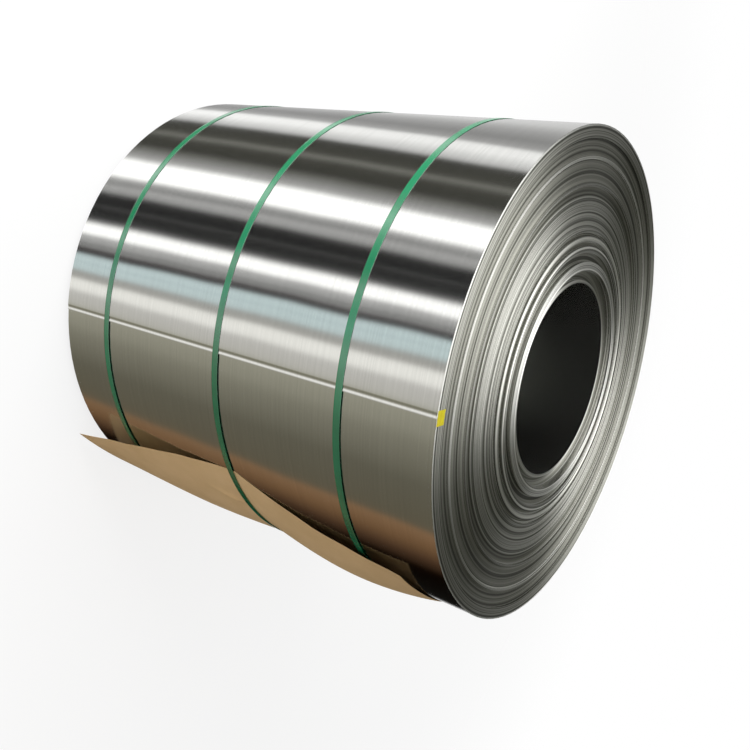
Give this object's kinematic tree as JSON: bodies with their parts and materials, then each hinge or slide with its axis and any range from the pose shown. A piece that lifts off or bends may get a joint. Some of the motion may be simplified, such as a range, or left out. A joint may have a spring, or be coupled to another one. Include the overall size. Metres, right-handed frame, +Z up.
{
  "type": "steel coil",
  "caption": "Coil of bright stainless steel strip stored on its end, with its bore, plastic straps, a sheet of kraft paper against its side and a tape patch at the strip's tail.",
  "frame": {"origin": "on the coil's axis, at the level that the coil stands on", "axes": "+Z up along the coil's axis, towards the end that the picture shows; the strip's tail is on the front, -Y, and what is the coil's top in the picture faces -X"},
  "size_m": [1.2808, 1.2804, 1.2455],
  "materials": {
    "steel_strip": "bright cold-rolled",
    "strap": "glossy, finely embossed",
    "paper": "matte kraft",
    "tape": "satin"
  },
  "bodies": {
    "root": {"coil": "steel_strip", "strap_lower": "strap", "strap_middle": "strap", "strap_upper": "strap", "kraft_paper": "paper", "marker_tape": "tape"}
  },
  "joints": []
}
